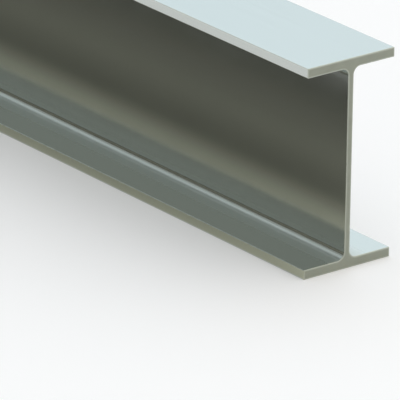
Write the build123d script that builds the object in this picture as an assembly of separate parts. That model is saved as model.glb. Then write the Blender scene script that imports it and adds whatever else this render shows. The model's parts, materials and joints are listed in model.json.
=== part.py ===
from build123d import *
import os

# A hot-rolled steel I-beam: one piece of plain stock with parallel flanges and square saw-cut ends.
# It lies on its bottom flange with its length along Y. The origin is the middle of its underside.
# All sizes are in millimetres.

# Section, as rolled
depth = 203.0
flange_width = 100.0
flange_thickness = 9.3
web_thickness = 6.2
root_radius = 7.5
toe_radius = 1.0

# Stock, as cut
beam_length = 2000.0
end_deburr = 0.8


def section_outline():
    """The I outline in the XZ plane, with its underside on Z = 0 and each corner's own radius."""
    half_flange = flange_width / 2
    half_web = web_thickness / 2
    under_top_flange = depth - flange_thickness
    right_side = [
        (half_flange, 0, toe_radius),
        (half_flange, flange_thickness, toe_radius),
        (half_web, flange_thickness, root_radius),
        (half_web, under_top_flange, root_radius),
        (half_flange, under_top_flange, toe_radius),
        (half_flange, depth, toe_radius),
    ]
    left_side = [(-x, z, radius) for x, z, radius in reversed(right_side)]
    corners = right_side + left_side
    points = [(x, z) for x, z, radius in corners]
    radii = [radius for x, z, radius in corners]
    return FilletPolyline(*points, radius=radii, close=True)


def rolled_beam():
    """The section drawn out along Y, with the saw burr taken off round both end faces."""
    section = Plane.XZ * make_face(section_outline())
    beam = extrude(section, amount=beam_length / 2, both=True)
    end_faces = [beam.faces().sort_by(Axis.Y)[0], beam.faces().sort_by(Axis.Y)[-1]]
    end_edges = [edge for face in end_faces for edge in face.edges()]
    return chamfer(end_edges, end_deburr)


os.makedirs("parts", exist_ok=True)
export_step(rolled_beam(), "parts/i_beam.step")
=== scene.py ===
"""Dresses the rolled steel beam: its fine mesh, its steel, and the studio it is seen in."""

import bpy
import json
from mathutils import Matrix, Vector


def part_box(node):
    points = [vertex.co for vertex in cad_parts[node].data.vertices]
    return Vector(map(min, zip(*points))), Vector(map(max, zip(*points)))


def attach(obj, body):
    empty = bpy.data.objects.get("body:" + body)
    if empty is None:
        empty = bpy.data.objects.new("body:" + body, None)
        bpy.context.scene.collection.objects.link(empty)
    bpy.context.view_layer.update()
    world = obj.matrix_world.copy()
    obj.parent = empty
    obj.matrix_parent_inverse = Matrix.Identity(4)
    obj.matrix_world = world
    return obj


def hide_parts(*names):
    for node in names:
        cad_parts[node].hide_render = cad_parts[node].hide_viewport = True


bl_info = {
    "name": "Rolled Steel Beam",
    "version": (1, 0, 0),
    "blender": (4, 5, 0),
    "location": "View3D > Sidebar > Steel Beam",
    "description": "Rolls a parallel-flanged steel beam, finishes its steel and sets up its studio",
    "category": "Object",
}

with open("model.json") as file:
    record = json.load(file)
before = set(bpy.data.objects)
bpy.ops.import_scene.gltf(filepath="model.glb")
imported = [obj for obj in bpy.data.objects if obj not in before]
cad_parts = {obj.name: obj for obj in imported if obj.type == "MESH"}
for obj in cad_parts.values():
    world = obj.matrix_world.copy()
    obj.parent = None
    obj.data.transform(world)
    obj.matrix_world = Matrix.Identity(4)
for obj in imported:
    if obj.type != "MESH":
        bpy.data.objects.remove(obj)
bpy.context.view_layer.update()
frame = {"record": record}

import json
import math

import bmesh
import bpy
from bpy.props import FloatProperty, FloatVectorProperty, IntProperty, PointerProperty
from bpy.types import Operator, Panel, PropertyGroup
from mathutils import Euler, Matrix, Vector

beam_low, beam_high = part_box("i_beam")
mounts = {mount["name"]: mount for mount in frame["record"]["mounts"]}
web_half_thickness = abs(mounts["left_web_face"]["pos_m"][0])

MM = 0.001
RIGHT_ANGLE = math.pi / 2
SAWN_SLOT = 1


# Sizes and colours that a user would change

class BeamSection(PropertyGroup):
    """The rolled section and how finely it is meshed."""

    flange_thickness: FloatProperty(
        name="Flange Thickness",
        description="Thickness of each flange away from the web",
        default=9.3 * MM,
        unit="LENGTH",
    )
    web_thickness: FloatProperty(
        name="Web Thickness",
        description="Thickness of the upright plate between the flanges",
        default=2 * web_half_thickness,
        unit="LENGTH",
    )
    root_radius: FloatProperty(
        name="Root Radius",
        description="Size of the four fillets where the web runs into the flanges",
        default=7.5 * MM,
        unit="LENGTH",
    )
    root_fade: FloatProperty(
        name="Root Fade",
        description="How far the fillets' duller steel takes to fade out along the flange",
        default=18 * MM,
        min=1 * MM,
        max=35 * MM,
        unit="LENGTH",
    )
    toe_radius: FloatProperty(
        name="Toe Radius",
        description="Radius of the long outer corners of the flanges",
        default=0.6 * MM,
        unit="LENGTH",
    )
    end_rounding: FloatProperty(
        name="End Rounding",
        description="How far the saw burr is eased off round each end",
        default=0.6 * MM,
        unit="LENGTH",
    )
    wear_reach: FloatProperty(
        name="Wear Reach",
        description="How far the bright rubbed steel fades in from each outer corner",
        default=1.0 * MM,
        unit="LENGTH",
    )
    ring_spacing: FloatProperty(
        name="Ring Spacing",
        description="Distance along the beam from one mesh ring to the next",
        default=50 * MM,
        unit="LENGTH",
    )
    arc_steps: IntProperty(
        name="Arc Steps",
        description="Mesh steps round each rounded corner of the section",
        default=12,
        min=2,
    )
    edge_steps: IntProperty(
        name="Edge Steps",
        description="Mesh steps over the eased edge of each end",
        default=4,
        min=1,
    )


class SteelFinish(PropertyGroup):
    """The colours and gloss of the rolled skin and the sawn ends."""

    rolled_colour: FloatVectorProperty(
        name="Rolled Steel",
        description="Colour of the smooth rolled skin",
        default=(0.566, 0.594, 0.566),
        subtype="COLOR",
        min=0.0,
        max=1.0,
    )
    streak_colour: FloatVectorProperty(
        name="Rolling Streaks",
        description="Colour of the darker streaks that run along the beam",
        default=(0.551, 0.579, 0.551),
        subtype="COLOR",
        min=0.0,
        max=1.0,
    )
    rubbed_colour: FloatVectorProperty(
        name="Rubbed Corners",
        description="Colour of the steel where the outer corners are rubbed bright",
        default=(0.60, 0.62, 0.56),
        subtype="COLOR",
        min=0.0,
        max=1.0,
    )
    sawn_colour: FloatVectorProperty(
        name="Sawn Steel",
        description="Colour of the matt sawn ends",
        default=(0.415, 0.43, 0.366),
        subtype="COLOR",
        min=0.0,
        max=1.0,
    )
    rolled_roughness: FloatProperty(
        name="Rolled Roughness",
        description="How far the rolled skin blurs what it mirrors",
        default=0.14,
        subtype="FACTOR",
        min=0.0,
        max=1.0,
    )
    root_roughness: FloatProperty(
        name="Root Roughness",
        description="How far the fillets beside the web blur what they mirror",
        default=0.46,
        subtype="FACTOR",
        min=0.0,
        max=1.0,
    )
    sawn_roughness: FloatProperty(
        name="Sawn Roughness",
        description="How matt the sawn ends are",
        default=0.72,
        subtype="FACTOR",
        min=0.0,
        max=1.0,
    )
    rim_roughness: FloatProperty(
        name="Rim Roughness",
        description="How far the eased rims of the ends blur what they mirror",
        default=0.55,
        subtype="FACTOR",
        min=0.0,
        max=1.0,
    )


class Studio(PropertyGroup):
    """The floor, the light and the camera."""

    floor_colour: FloatVectorProperty(
        name="Floor",
        description="Colour of the plain pale floor",
        default=(0.927, 0.914, 0.944),
        subtype="COLOR",
        min=0.0,
        max=1.0,
    )
    floor_lift: FloatProperty(
        name="Floor Lift",
        description="How much whiter than its paint the floor looks, to the camera and in metal and glass",
        default=0.06,
        min=0.0,
        max=1.0,
    )
    fill_colour: FloatVectorProperty(
        name="Fill",
        description="Colour of the even light from all round",
        default=(0.95, 1.0, 0.942),
        subtype="COLOR",
        min=0.0,
        max=1.0,
    )
    fill_level: FloatProperty(
        name="Fill Level",
        description="Strength of the even light from all round",
        default=0.422,
        min=0.0,
    )
    back_colour: FloatVectorProperty(
        name="Back Light",
        description="Colour of the broad light behind the beam, which the flange tops mirror",
        default=(0.537, 0.767, 1.0),
        subtype="COLOR",
        min=0.0,
        max=1.0,
    )
    back_level: FloatProperty(
        name="Back Light Level",
        description="Strength of the light behind the beam",
        default=0.555,
        min=0.0,
    )
    back_side: FloatVectorProperty(
        name="Back Light Side",
        description="Which way the light behind the beam lies",
        default=(0.30, 0.81, 0.50),
        subtype="DIRECTION",
    )
    back_edge: FloatProperty(
        name="Back Light Edge",
        description="How narrow the light behind the beam is: cosine of the angle where it has faded out",
        default=0.59,
        min=-1.0,
        max=0.99,
    )
    top_colour: FloatVectorProperty(
        name="Top Light",
        description="Colour of the broad light overhead",
        default=(1.0, 0.97, 0.92),
        subtype="COLOR",
        min=0.0,
        max=1.0,
    )
    top_level: FloatProperty(
        name="Top Light Level",
        description="Strength of the light overhead",
        default=0.865,
        min=0.0,
    )
    top_side: FloatVectorProperty(
        name="Top Light Side",
        description="Which way the light overhead lies",
        default=(0.45, -0.15, 0.88),
        subtype="DIRECTION",
    )
    top_edge: FloatProperty(
        name="Top Light Edge",
        description="How narrow the light overhead is: cosine of the angle where it has faded out",
        default=0.05,
        min=-1.0,
        max=0.99,
    )
    # The left card's colour and shades are painted light and shade, which only the steel mirrors as a
    # painted reflection
    flag_colour: FloatVectorProperty(
        name="Flag",
        description="Colour of the card that the web mirrors, before its shades",
        default=(1.0, 0.968, 0.833),
        subtype="COLOR",
        min=0.0,
        max=1.0,
    )
    flag_gap: FloatProperty(
        name="Flag Gap",
        description="Distance from the flanges to the near edge of the card, which lies on the floor",
        default=2 * MM,
        unit="LENGTH",
    )
    flag_reach: FloatProperty(
        name="Flag Reach",
        description="How far the card leads away from the beam",
        default=132 * MM,
        unit="LENGTH",
    )
    flag_height: FloatProperty(
        name="Flag Height",
        description="Height of the card's far edge above the floor",
        default=90 * MM,
        unit="LENGTH",
    )
    flag_fade: FloatProperty(
        name="Flag Fade",
        description="How far the cards take to fade in from their front edges",
        default=500 * MM,
        unit="LENGTH",
    )
    foot_shade: FloatProperty(
        name="Foot Shade",
        description="How light the card is along its near edge",
        default=1.0,
        subtype="FACTOR",
        min=0.0,
        max=1.0,
    )
    band_shade: FloatProperty(
        name="Band Shade",
        description="How light the card is in the band low down on it",
        default=0.86,
        subtype="FACTOR",
        min=0.0,
        max=1.0,
    )
    dip_shade: FloatProperty(
        name="Dip Shade",
        description="How light the card is just above that band",
        default=0.258,
        subtype="FACTOR",
        min=0.0,
        max=1.0,
    )
    middle_shade: FloatProperty(
        name="Middle Shade",
        description="How light the card is half way up",
        default=0.326,
        subtype="FACTOR",
        min=0.0,
        max=1.0,
    )
    top_shade: FloatProperty(
        name="Top Shade",
        description="How light the card is at its top",
        default=0.105,
        subtype="FACTOR",
        min=0.0,
        max=1.0,
    )
    band_place: FloatProperty(
        name="Band Place",
        description="How far up the card its light band lies",
        default=0.0616,
        subtype="FACTOR",
        min=0.0,
        max=1.0,
    )
    dip_place: FloatProperty(
        name="Dip Place",
        description="How far up the card the dip in its light lies",
        default=0.218,
        subtype="FACTOR",
        min=0.0,
        max=1.0,
    )
    middle_place: FloatProperty(
        name="Middle Place",
        description="How far up the card its middle shade lies",
        default=0.436,
        subtype="FACTOR",
        min=0.0,
        max=1.0,
    )
    top_place: FloatProperty(
        name="Top Place",
        description="How far up the card its top shade begins",
        default=0.8185,
        subtype="FACTOR",
        min=0.0,
        max=1.0,
    )
    # The right card's dark foot is painted shade, which only the steel mirrors as a painted reflection
    right_flag_gap: FloatProperty(
        name="Right Flag Gap",
        description="Distance from the flanges to the near edge of the right card",
        default=50 * MM,
        unit="LENGTH",
    )
    right_flag_reach: FloatProperty(
        name="Right Flag Reach",
        description="How far the right card leads away from the beam",
        default=170 * MM,
        unit="LENGTH",
    )
    right_flag_height: FloatProperty(
        name="Right Flag Height",
        description="Height of the right card's far edge above the floor",
        default=85 * MM,
        unit="LENGTH",
    )
    right_foot_shade: FloatProperty(
        name="Right Foot Shade",
        description="How light the right card is along its near edge",
        default=0.12,
        subtype="FACTOR",
        min=0.0,
        max=1.0,
    )
    view_azimuth: FloatProperty(
        name="View Azimuth",
        description="How far the camera looks across the beam, from straight along it",
        default=math.radians(38.13),
        subtype="ANGLE",
    )
    view_elevation: FloatProperty(
        name="View Elevation",
        description="How far the camera looks down",
        default=math.radians(21.30),
        subtype="ANGLE",
    )
    view_roll: FloatProperty(
        name="View Roll",
        description="How far the camera is tilted sideways",
        default=math.radians(0.87),
        subtype="ANGLE",
    )
    view_distance: FloatProperty(
        name="View Distance",
        description="Distance from the camera to the point it looks at",
        default=6.013,
        unit="LENGTH",
    )
    aim_from_end: FloatProperty(
        name="Aim From End",
        description="How far behind the near end the camera looks",
        default=217.0 * MM,
        unit="LENGTH",
    )
    aim_height: FloatProperty(
        name="Aim Height",
        description="Height above the floor of the point that the camera looks at",
        default=-2.3 * MM,
        unit="LENGTH",
    )
    lens: FloatProperty(
        name="Lens",
        description="Focal length of the camera in millimetres",
        default=580.5,
    )


# The beam's mesh

def section_corners(section, inset):
    """Corners of the I outline drawn in by inset, as (x, z, radius), going round from its lower right."""
    least_radius = 0.05 * MM
    edge_x = beam_high.x - inset
    web_x = section.web_thickness / 2 - inset
    bottom = beam_low.z + inset
    top = beam_high.z - inset
    over_bottom_flange = beam_low.z + section.flange_thickness - inset
    under_top_flange = beam_high.z - section.flange_thickness + inset
    toe = max(section.toe_radius - inset, least_radius)
    root = section.root_radius + inset
    right_side = [
        (edge_x, bottom, toe),
        (edge_x, over_bottom_flange, toe),
        (web_x, over_bottom_flange, root),
        (web_x, under_top_flange, root),
        (edge_x, under_top_flange, toe),
        (edge_x, top, toe),
    ]
    left_side = [(-x, z, radius) for x, z, radius in reversed(right_side)]
    return right_side + left_side


def root_points(section, corner, radius, from_web, web_side, flange_side):
    """The outline's points round one root, in the outline's order, as section_outline gives them.

    web_side and flange_side are unit vectors from the corner, up or down the web and out along the flange.
    """
    centre = corner + (web_side + flange_side) * radius
    points = []
    for step in range(section.arc_steps + 1):
        share = step / section.arc_steps
        facing = flange_side * math.cos(RIGHT_ANGLE * share) + web_side * math.sin(RIGHT_ANGLE * share)
        points.append((centre - facing * radius, facing, 0.0, share))
    flange_end = points[-1][0]
    points.append((flange_end + flange_side * section.root_fade, web_side, 0.0, 0.0))
    return points if from_web else points[::-1]


def section_outline(section, inset):
    """Points round the section drawn in by inset, as (place, outward normal, wear, root) in the XZ plane.

    wear is 1 on the rounded outer corners. root grows to 1 round each fillet, from web to flange, and fades
    out along the flange.
    """
    corners = section_corners(section, inset)
    outline = []
    for i, (x, z, radius) in enumerate(corners):
        corner = Vector((x, z))
        before = Vector(corners[i - 1][:2])
        after = Vector(corners[(i + 1) % len(corners)][:2])
        along_in = (corner - before).normalized()
        along_out = (after - corner).normalized()
        # The steel is on the outline's left, so a right turn is a root and a left turn an outer corner
        if along_in.cross(along_out) < 0:
            from_web = abs(along_in.y) > abs(along_in.x)
            web_side, flange_side = (-along_in, along_out) if from_web else (along_out, -along_in)
            outline += root_points(section, corner, radius, from_web, web_side, flange_side)
            continue
        right_of_in = Vector((along_in.y, -along_in.x))
        right_of_out = Vector((along_out.y, -along_out.x))
        centre = corner - (along_in + right_of_in) * radius
        outline.append((corner - along_in * (radius + section.wear_reach), right_of_in, 0.0, 0.0))
        for step in range(section.arc_steps + 1):
            spoke = Matrix.Rotation(RIGHT_ANGLE * step / section.arc_steps, 2) @ right_of_in
            outline.append((centre + spoke * radius, spoke, 1.0, 0.0))
        outline.append((corner + along_out * (radius + section.wear_reach), right_of_out, 0.0, 0.0))
    return outline


def ring_stations(section):
    """Where the beam's rings stand, from the near end face to the far one, as (y, inset, lean, worn).

    lean is the surface's angle: 0 faces out of the near end, and a right angle faces away from the beam.
    worn is how rubbed the whole ring is, or None where only the section's own corners are rubbed.
    """
    rounding = section.end_rounding
    near_end = [(0.0, rounding + section.wear_reach, 0.0, 0.0)]
    for step in range(section.edge_steps + 1):
        lean = RIGHT_ANGLE * step / section.edge_steps
        near_end.append((rounding * (1 - math.cos(lean)), rounding * (1 - math.sin(lean)), lean, 1.0))
    near_end.append((rounding + section.wear_reach, 0.0, RIGHT_ANGLE, None))

    length = beam_high.y - beam_low.y
    spans = round(length / section.ring_spacing)
    middle = [(length * i / spans, 0.0, RIGHT_ANGLE, None) for i in range(1, spans)]
    far_end = [(length - y, inset, math.pi - lean, worn) for y, inset, lean, worn in reversed(near_end)]
    return [(beam_low.y + y, inset, lean, worn) for y, inset, lean, worn in near_end + middle + far_end]


def beam_mesh(section):
    """The whole beam as one closed mesh, with exact normals, and with wear and root at each point."""
    mesh = bpy.data.meshes.new("rolled_beam")
    bm = bmesh.new()
    wear_layer = bm.verts.layers.float.new("rubbed")
    root_layer = bm.verts.layers.float.new("root")
    normals = []
    rings = []
    for y, inset, lean, worn in ring_stations(section):
        ring = []
        for place, facing, wear, root in section_outline(section, inset):
            vert = bm.verts.new((place.x, y, place.y))
            vert[wear_layer] = wear if worn is None else worn
            vert[root_layer] = root
            ring.append(vert)
            out = math.sin(lean)
            normals.append(Vector((facing.x * out, -math.cos(lean), facing.y * out)))
        rings.append(ring)

    for near, far in zip(rings, rings[1:]):
        for i, vert in enumerate(near):
            after = (i + 1) % len(near)
            bm.faces.new((vert, near[after], far[after], far[i]))
    eased = section.edge_steps + 1
    sawn_verts = {vert for ring in rings[:eased + 1] + rings[-eased - 1:] for vert in ring}
    for face in bm.faces:
        if all(vert in sawn_verts for vert in face.verts):
            face.material_index = SAWN_SLOT
    near_face = bm.faces.new(list(reversed(rings[0])))
    far_face = bm.faces.new(rings[-1])
    near_face.material_index = SAWN_SLOT
    far_face.material_index = SAWN_SLOT
    for face in bm.faces:
        face.smooth = True
    bmesh.ops.recalc_face_normals(bm, faces=bm.faces)
    bm.to_mesh(mesh)
    bm.free()
    mesh.normals_split_custom_set_from_vertices(normals)
    return mesh


# Steel

class Graph:
    """Adds nodes to a material or a world and links them by the names of their sockets."""

    def __init__(self, owner):
        owner.use_nodes = True
        self.tree = owner.node_tree
        self.tree.nodes.clear()

    def add(self, kind, inputs=(), **settings):
        """A new node with its settings, and its inputs set to values or linked to other sockets."""
        node = self.tree.nodes.new(kind)
        for name, value in settings.items():
            setattr(node, name, value)
        for name, value in dict(inputs).items():
            if isinstance(value, bpy.types.NodeSocket):
                self.tree.links.new(value, node.inputs[name])
            else:
                node.inputs[name].default_value = value
        return node

    def noise(self, where, stretch, detail):
        """Noise with so many lumps to the metre along X, Y and Z, as one value."""
        scaled = self.add("ShaderNodeMapping", {"Vector": where, "Scale": stretch})
        inputs = {"Vector": scaled.outputs["Vector"], "Scale": 1.0, "Detail": detail, "Roughness": 0.6}
        return self.add("ShaderNodeTexNoise", inputs).outputs["Fac"]

    def spread(self, value, low, high, to_low=0.0, to_high=1.0):
        """Value from between low and high, moved to between to_low and to_high."""
        inputs = {"Value": value, "From Min": low, "From Max": high, "To Min": to_low, "To Max": to_high}
        return self.add("ShaderNodeMapRange", inputs).outputs["Result"]

    def maths(self, operation, first, second):
        """One sum of two values."""
        return self.add("ShaderNodeMath", {0: first, 1: second}, operation=operation).outputs["Value"]

    def blend(self, share, first, second):
        """One colour blended into another by share."""
        # A Mix node's colour inputs are the third pair named A and B, so they are taken by their place
        node = self.add("ShaderNodeMix", {"Factor": share}, data_type="RGBA")
        for socket, value in zip(node.inputs[6:8], (first, second)):
            if isinstance(value, bpy.types.NodeSocket):
                self.tree.links.new(value, socket)
            else:
                socket.default_value = value
        return node.outputs[2]


def opaque(colour):
    """A colour property as a shader takes it."""
    return (*colour, 1.0)


def rolled_steel(finish):
    """Satin rolled skin, streaked along the beam, mottled, duller in the roots and rubbed at the corners."""
    material = bpy.data.materials.new("rolled_steel")
    graph = Graph(material)
    where = graph.add("ShaderNodeTexCoord").outputs["Object"]
    streaks = graph.noise(where, (260, 3, 260), 4.0)
    fine_streaks = graph.noise(where, (1500, 14, 1500), 3.0)
    mottle = graph.noise(where, (24, 14, 24), 5.0)
    grain = graph.noise(where, (2600, 2600, 2600), 2.0)

    streakiness = graph.spread(streaks, 0.35, 0.68)
    patchiness = graph.spread(mottle, 0.3, 0.7, 0.4, 1.0)
    darkening = graph.maths("MULTIPLY", streakiness, patchiness)
    skin = graph.blend(darkening, opaque(finish.rolled_colour), opaque(finish.streak_colour))
    rubbed = graph.add("ShaderNodeAttribute", attribute_name="rubbed").outputs["Fac"]
    bright = graph.maths("MULTIPLY", rubbed, graph.spread(mottle, 0.3, 0.65, 0.2, 0.8))
    colour = graph.blend(bright, skin, opaque(finish.rubbed_colour))

    root = graph.add("ShaderNodeAttribute", attribute_name="root").outputs["Fac"]
    basic = graph.spread(root, 0.0, 1.0, finish.rolled_roughness, finish.root_roughness)
    soft = graph.maths("ADD", basic, graph.spread(mottle, 0.3, 0.7, -0.015, 0.02))
    roughness = graph.maths("ADD", soft, graph.spread(fine_streaks, 0.3, 0.7, -0.01, 0.015))
    relief = graph.maths("ADD", fine_streaks, graph.maths("MULTIPLY", grain, 0.5))
    bump = graph.add("ShaderNodeBump", {"Strength": 0.04, "Distance": 0.02 * MM, "Height": relief})
    shader = graph.add("ShaderNodeBsdfPrincipled", {
        "Base Color": colour,
        "Metallic": 1.0,
        "Roughness": roughness,
        "Normal": bump.outputs["Normal"],
    })
    graph.add("ShaderNodeOutputMaterial", {"Surface": shader.outputs["BSDF"]})
    return material


def sawn_steel(finish):
    """Matt saw-cut steel with the blade's fine level marks."""
    material = bpy.data.materials.new("sawn_steel")
    graph = Graph(material)
    where = graph.add("ShaderNodeTexCoord").outputs["Object"]
    marks = graph.noise(where, (30, 30, 1400), 3.0)
    patches = graph.noise(where, (60, 60, 90), 4.0)
    grain = graph.noise(where, (2200, 2200, 2200), 2.0)

    tone = graph.spread(graph.maths("ADD", marks, patches), 0.7, 1.3)
    darkest = 0.88
    dark = [darkest * channel for channel in finish.sawn_colour]
    colour = graph.blend(tone, opaque(dark), opaque(finish.sawn_colour))
    rubbed = graph.add("ShaderNodeAttribute", attribute_name="rubbed").outputs["Fac"]
    colour = graph.blend(graph.maths("MULTIPLY", rubbed, 0.5), colour, opaque(finish.rubbed_colour))

    matt = graph.spread(marks, 0.3, 0.7, finish.sawn_roughness - 0.05, finish.sawn_roughness + 0.05)
    roughness = graph.spread(rubbed, 0.0, 1.0, matt, finish.rim_roughness)
    relief = graph.maths("ADD", marks, graph.maths("MULTIPLY", grain, 0.4))
    bump = graph.add("ShaderNodeBump", {"Strength": 0.5, "Distance": 0.04 * MM, "Height": relief})
    shader = graph.add("ShaderNodeBsdfPrincipled", {
        "Base Color": colour,
        "Metallic": 1.0,
        "Roughness": roughness,
        "Normal": bump.outputs["Normal"],
    })
    graph.add("ShaderNodeOutputMaterial", {"Surface": shader.outputs["BSDF"]})
    return material


class BEAM_OT_roll(Operator):
    """Roll the beam's section, cut it to length and finish its steel"""

    bl_idname = "beam.roll"
    bl_label = "Roll Beam"

    def execute(self, context):
        section = context.scene.beam_section
        finish = context.scene.steel_finish
        mesh = beam_mesh(section)
        mesh.materials.append(rolled_steel(finish))
        mesh.materials.append(sawn_steel(finish))
        beam = bpy.data.objects.new("rolled_beam", mesh)
        context.scene.collection.objects.link(beam)
        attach(beam, "root")
        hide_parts("i_beam")
        return {"FINISHED"}


# Studio

def studio_piece(mesh, material):
    """A mesh put into the studio in its one material."""
    mesh.materials.append(material)
    piece = bpy.data.objects.new(mesh.name, mesh)
    bpy.context.scene.collection.objects.link(piece)
    return piece


def floor_paint(studio):
    """Plain pale paint. The camera, metal and glass see it a little whiter, but it lights nothing more."""
    material = bpy.data.materials.new("studio_floor")
    graph = Graph(material)
    rays = graph.add("ShaderNodeLightPath").outputs
    mirrored = graph.maths("MAXIMUM", rays["Is Glossy Ray"], rays["Is Transmission Ray"])
    seen = graph.maths("MAXIMUM", rays["Is Camera Ray"], mirrored)
    paint = graph.add("ShaderNodeBsdfDiffuse", {"Color": opaque(studio.floor_colour)})
    strength = graph.maths("MULTIPLY", seen, studio.floor_lift)
    lift = graph.add("ShaderNodeEmission", {"Strength": strength})
    both = graph.add("ShaderNodeAddShader", {0: paint.outputs["BSDF"], 1: lift.outputs["Emission"]})
    graph.add("ShaderNodeOutputMaterial", {"Surface": both.outputs["Shader"]})
    material.cycles.emission_sampling = "NONE"
    return material


def card_paint(studio, name, height, front_y, tint, bands):
    """Painted shade and light for the steel to mirror: lighter and darker up a card, fading into the floor's
    colour at its front.

    bands are (share of the height, shade), from the floor up.
    """
    material = bpy.data.materials.new(name)
    graph = Graph(material)
    where = graph.add("ShaderNodeTexCoord").outputs["Object"]
    place = graph.add("ShaderNodeSeparateXYZ", {"Vector": where}).outputs
    climb = graph.spread(place["Z"], beam_low.z, beam_low.z + height)
    # The ramp's stops are painted shade and light, which the web mirrors as a painted reflection
    ramp = graph.add("ShaderNodeValToRGB", {"Fac": climb})
    stops = ramp.color_ramp.elements
    while len(stops) < len(bands):
        stops.new(1.0)
    for stop, (share, shade) in zip(stops, bands):
        stop.position = share
        stop.color = opaque([shade * channel for channel in tint])
    inward = graph.spread(place["Y"], front_y, front_y + studio.flag_fade)
    colour = graph.blend(inward, opaque(studio.floor_colour), ramp.outputs["Color"])
    shader = graph.add("ShaderNodeBsdfDiffuse", {"Color": colour})
    graph.add("ShaderNodeOutputMaterial", {"Surface": shader.outputs["BSDF"]})
    return material


def studio_floor(studio):
    """A wide round floor whose rim curves up into a low backdrop, so no view looks past it."""
    flat_reach = 60.0
    rim = 12.0
    rim_steps = 12
    round_steps = 96
    profile = [(0.0, 0.0)]
    for step in range(rim_steps + 1):
        climb = RIGHT_ANGLE * step / rim_steps
        profile.append((flat_reach + rim * math.sin(climb), rim * (1 - math.cos(climb))))
    bm = bmesh.new()
    rings = []
    for reach, height in profile[1:]:
        ring = []
        for step in range(round_steps):
            around = 2 * math.pi * step / round_steps
            place = (reach * math.cos(around), reach * math.sin(around), beam_low.z + height)
            ring.append(bm.verts.new(place))
        rings.append(ring)
    bm.faces.new(rings[0])
    for inner, outer in zip(rings, rings[1:]):
        for i, vert in enumerate(inner):
            after = (i + 1) % round_steps
            bm.faces.new((vert, inner[after], outer[after], outer[i])).smooth = True
    bmesh.ops.recalc_face_normals(bm, faces=bm.faces)
    mesh = bpy.data.meshes.new("studio_floor")
    bm.to_mesh(mesh)
    bm.free()
    return studio_piece(mesh, floor_paint(studio))


def studio_sky(studio):
    """A dome of even light with two broad soft lights in it, one behind the beam and one overhead."""
    world = bpy.data.worlds.new("studio_sky")
    graph = Graph(world)
    where = graph.add("ShaderNodeTexCoord").outputs["Generated"]
    even = {"Color": opaque(studio.fill_colour), "Strength": studio.fill_level}
    fill = graph.add("ShaderNodeBackground", even)
    sky = fill.outputs["Background"]
    soft_lights = (
        (studio.back_side, studio.back_edge, studio.back_colour, studio.back_level),
        (studio.top_side, studio.top_edge, studio.top_colour, studio.top_level),
    )
    for side, edge, colour, level in soft_lights:
        towards = Vector(side).normalized()
        facing = graph.add("ShaderNodeVectorMath", {0: where, 1: towards}, operation="DOT_PRODUCT")
        reach = {"Value": facing.outputs["Value"], "From Min": edge, "From Max": 1.0, "To Max": level}
        rise = graph.add("ShaderNodeMapRange", reach, interpolation_type="SMOOTHSTEP").outputs["Result"]
        light = graph.add("ShaderNodeBackground", {"Color": opaque(colour), "Strength": rise})
        both = graph.add("ShaderNodeAddShader", {0: sky, 1: light.outputs["Background"]})
        sky = both.outputs["Shader"]
    graph.add("ShaderNodeOutputWorld", {"Surface": sky})
    bpy.context.scene.world = world


def studio_flag(studio, name, foot_x, top_x, height, front_y, tint, bands):
    """A card that leans up off the floor beside the beam, painted with light and shade for its steel to
    mirror as a painted reflection. Nothing else shows it.
    """
    mesh = bpy.data.meshes.new(name)
    # It runs on past the far end by half the beam's length
    back_y = 2 * beam_high.y
    corners = [
        (foot_x, front_y, beam_low.z),
        (foot_x, back_y, beam_low.z),
        (top_x, back_y, beam_low.z + height),
        (top_x, front_y, beam_low.z + height),
    ]
    mesh.from_pydata(corners, [], [range(len(corners))])
    flag = studio_piece(mesh, card_paint(studio, name, height, front_y, tint, bands))
    flag.visible_camera = False
    flag.visible_diffuse = False
    flag.visible_shadow = False


def studio_camera(studio):
    """The camera, aimed at a point in the middle of the beam's width."""
    aim = Vector((0.0, beam_low.y + studio.aim_from_end, beam_low.z + studio.aim_height))
    turn = Euler((RIGHT_ANGLE - studio.view_elevation, 0.0, -studio.view_azimuth)).to_matrix().to_4x4()
    turn = turn @ Matrix.Rotation(studio.view_roll, 4, "Z")
    data = bpy.data.cameras.new("camera")
    data.lens = studio.lens
    # Far enough to take in the backdrop
    data.clip_end = 200.0
    camera = bpy.data.objects.new("camera", data)
    bpy.context.scene.collection.objects.link(camera)
    back_off = Matrix.Translation((0.0, 0.0, studio.view_distance))
    camera.matrix_world = Matrix.Translation(aim) @ turn @ back_off
    bpy.context.scene.camera = camera


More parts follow.
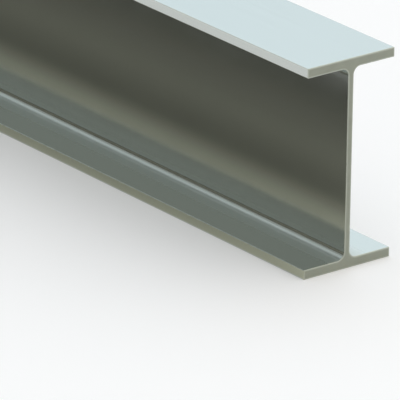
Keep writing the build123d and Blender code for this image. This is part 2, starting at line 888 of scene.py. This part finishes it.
class BEAM_OT_set_studio(Operator):
    """Lay the floor, light the beam and place the camera"""

    bl_idname = "beam.set_studio"
    bl_label = "Set Studio"

    def execute(self, context):
        studio = context.scene.studio
        studio_floor(studio)

        # The left card's bands are painted light and shade for the web to mirror
        left_x = beam_low.x - studio.flag_gap
        studio_flag(
            studio, "left_flag", left_x, left_x - studio.flag_reach, studio.flag_height, 2 * beam_low.y,
            studio.flag_colour,
            (
                (0.0, studio.foot_shade),
                (studio.band_place, studio.band_shade),
                (studio.dip_place, studio.dip_shade),
                (studio.middle_place, studio.middle_shade),
                (studio.top_place, studio.top_shade),
            ),
        )
        # The right card starts level with the near end, and grows as light as the floor at its top. Its dark
        # foot is painted shade for the web to mirror
        right_x = beam_high.x + studio.right_flag_gap
        right_top_x = right_x + studio.right_flag_reach
        studio_flag(
            studio, "right_flag", right_x, right_top_x, studio.right_flag_height, beam_low.y,
            studio.floor_colour,
            ((0.0, studio.right_foot_shade), (1.0, 1.0)),
        )
        studio_sky(studio)
        studio_camera(studio)
        context.scene.view_settings.view_transform = "Standard"
        return {"FINISHED"}


class BEAM_PT_panel(Panel):
    """The beam's sizes, finish and studio, with a button for each step"""

    bl_idname = "BEAM_PT_panel"
    bl_label = "Steel Beam"
    bl_space_type = "VIEW_3D"
    bl_region_type = "UI"
    bl_category = "Steel Beam"

    def draw(self, context):
        groups = (
            (context.scene.beam_section, BEAM_OT_roll.bl_idname),
            (context.scene.steel_finish, None),
            (context.scene.studio, BEAM_OT_set_studio.bl_idname),
        )
        for group, operator in groups:
            box = self.layout.box()
            for name in group.__annotations__:
                box.prop(group, name)
            if operator:
                box.operator(operator)


CLASSES = (BeamSection, SteelFinish, Studio, BEAM_OT_roll, BEAM_OT_set_studio, BEAM_PT_panel)


def register():
    """Make the properties, the operators and the panel known to Blender."""
    for cls in CLASSES:
        bpy.utils.register_class(cls)
    bpy.types.Scene.beam_section = PointerProperty(type=BeamSection)
    bpy.types.Scene.steel_finish = PointerProperty(type=SteelFinish)
    bpy.types.Scene.studio = PointerProperty(type=Studio)


def unregister():
    """Take them out again."""
    del bpy.types.Scene.studio
    del bpy.types.Scene.steel_finish
    del bpy.types.Scene.beam_section
    for cls in reversed(CLASSES):
        bpy.utils.unregister_class(cls)


def main():
    """Build the beam and its studio."""
    register()
    bpy.ops.beam.roll()
    bpy.ops.beam.set_studio()


if __name__ == "__main__":
    main()
